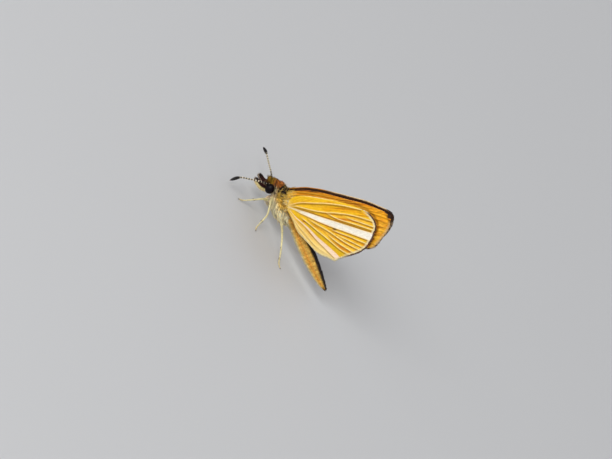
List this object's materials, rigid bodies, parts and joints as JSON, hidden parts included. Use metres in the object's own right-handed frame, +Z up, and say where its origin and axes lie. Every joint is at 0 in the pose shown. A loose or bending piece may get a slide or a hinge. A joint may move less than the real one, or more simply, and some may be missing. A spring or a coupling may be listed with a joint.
{
  "type": "skipper butterfly",
  "caption": "Life-size still model of a small orange skipper butterfly at rest, wings closed above its back, standing on its feet, for a display or nature scene.",
  "frame": {"origin": "on the floor under the middle of the part's box, at the level of the six feet", "axes": "+X from the head towards the tail, +Y to the butterfly's right side, -Y to its left side, +Z up"},
  "size_m": [0.0122, 0.0064, 0.0094],
  "materials": {
    "body_fur": "short soft hair, tawny above and whitish grey below",
    "abdomen_scales": "matt scales in rings, tan with a darker side line and a pale underside",
    "eye": "dark, finely facetted, softly glossy",
    "palp_hair": "cream yellow hair with dark tips",
    "antenna": "pale shaft checked with black, black club",
    "forewing": "matt orange scales with fine veins and a dark grey brown fringe",
    "hindwing": "matt golden scales, pale veins, a white ray to the edge and a grey fringe",
    "leg": "pale yellow scales and short hair"
  },
  "bodies": {
    "root": {"thorax": "body_fur", "head": "body_fur", "abdomen": "abdomen_scales", "eye_left": "eye", "eye_right": "eye", "palp_left": "palp_hair", "palp_right": "palp_hair", "antenna_left": "antenna", "antenna_right": "antenna", "forewing_left": "forewing", "forewing_right": "forewing", "hindwing_left": "hindwing", "hindwing_right": "hindwing", "foreleg_left": "leg", "foreleg_right": "leg", "midleg_left": "leg", "midleg_right": "leg", "hindleg_left": "leg", "hindleg_right": "leg"}
  },
  "joints": []
}
